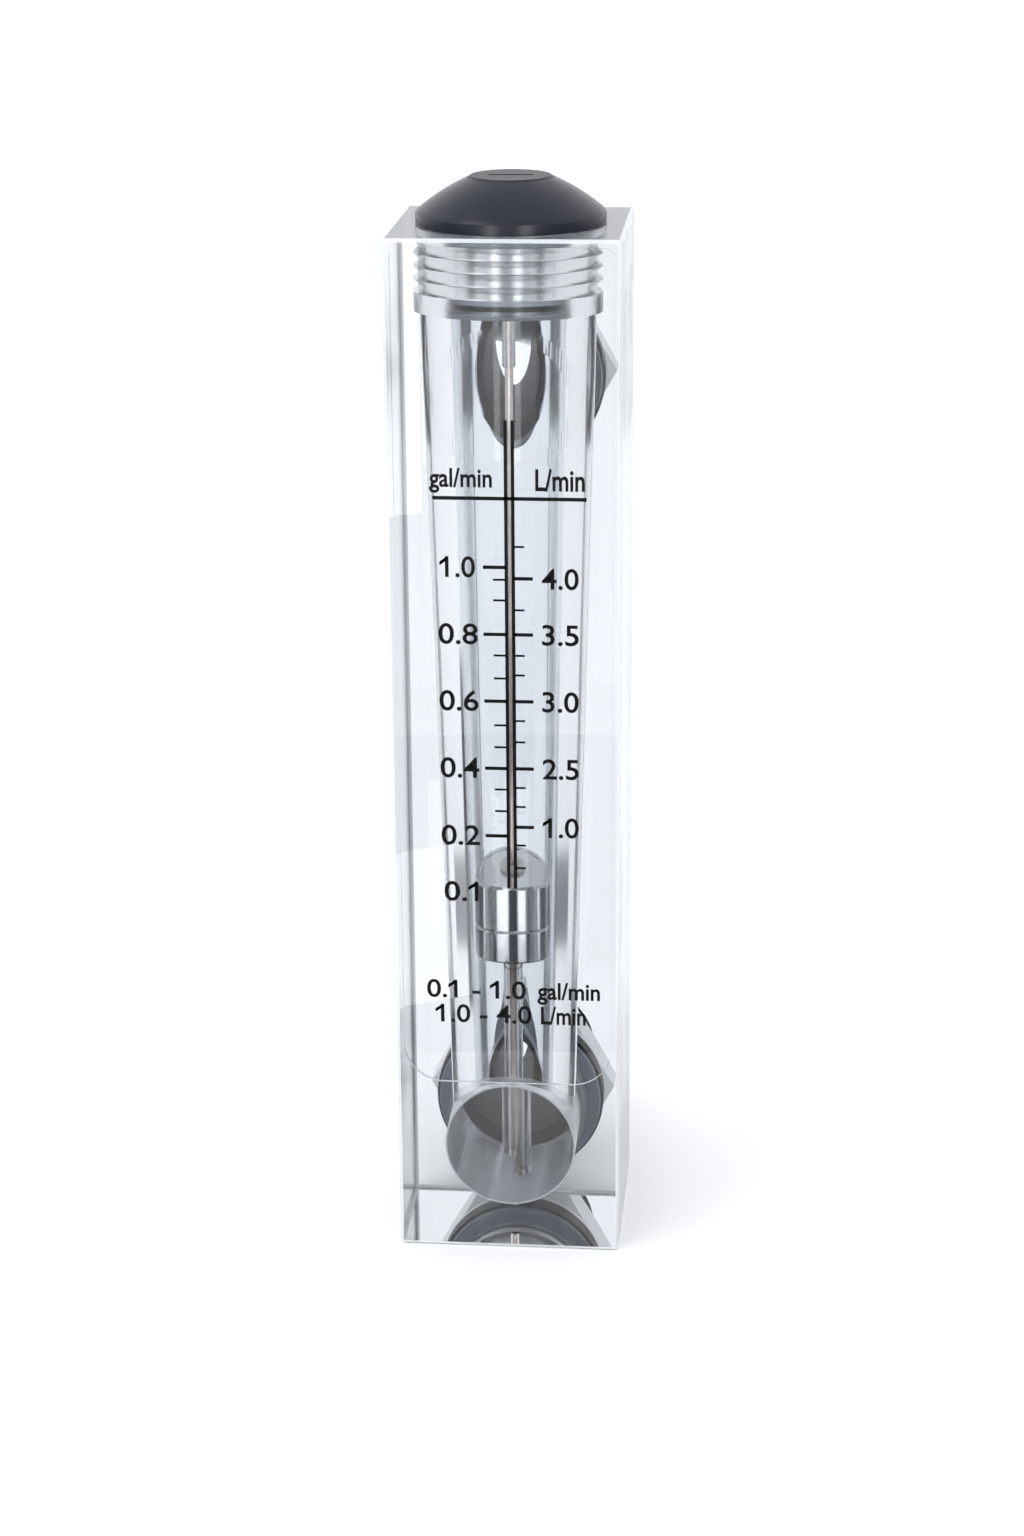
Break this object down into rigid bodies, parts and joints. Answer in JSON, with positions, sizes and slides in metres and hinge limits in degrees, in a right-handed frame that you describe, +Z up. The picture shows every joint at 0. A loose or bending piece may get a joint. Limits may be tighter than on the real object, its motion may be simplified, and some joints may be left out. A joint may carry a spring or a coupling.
{
  "type": "rotameter flow meter",
  "caption": "Panel-mounting rotameter: a clear block with a tapered bore, a steel float on a guide rod, a threaded top plug under a domed cap, and threaded rear ports.",
  "frame": {"origin": "centre of the block's flat base", "axes": "+X to the right, +Y to the rear where the ports leave, +Z up along the float rod"},
  "size_m": [0.033, 0.051, 0.1586],
  "materials": {
    "clear_block": "polished clear acrylic",
    "clear_plug": "clear moulded acrylic",
    "clear_seal": "translucent silicone",
    "black_cap": "smooth black moulding",
    "rod_steel": "drawn bright",
    "clear_sleeve": "frosted clear",
    "clear_stem": "clear",
    "float_steel": "turned and polished",
    "bearing_plastic": "natural low-friction plastic",
    "fitting_plastic": "satin black moulding",
    "seal_rubber": "matt black",
    "gasket_rubber": "matt grey",
    "washer_plastic": "natural",
    "nut_plastic": "natural, moulded"
  },
  "bodies": {
    "block": {"metering_block": "clear_block", "top_plug": "clear_plug", "plug_gasket": "clear_seal", "plug_cap": "black_cap", "guide_rod": "rod_steel", "lower_float_stop": "clear_sleeve", "upper_float_stop": "clear_stem", "inlet_fitting": "fitting_plastic", "inlet_o_ring": "seal_rubber", "inlet_gasket": "gasket_rubber", "inlet_washer": "washer_plastic", "inlet_nut": "nut_plastic", "outlet_fitting": "fitting_plastic", "outlet_o_ring": "seal_rubber", "outlet_gasket": "gasket_rubber", "outlet_washer": "washer_plastic", "outlet_nut": "nut_plastic"},
    "float_carrier": {"float_bearing_tube": "bearing_plastic", "float_retaining_ring": "bearing_plastic"},
    "float": {"float_body": "float_steel"}
  },
  "joints": [
    {"name": "float_rise", "type": "slide", "parent": "block", "child": "float_carrier", "axis": [0, 0, 1], "range_m": [0, 0.0749]},
    {"name": "float_spin", "type": "hinge", "parent": "float_carrier", "child": "float", "pos_m": [0, 0, 0.05], "axis": [0, 0, 1], "continuous": true}
  ]
}
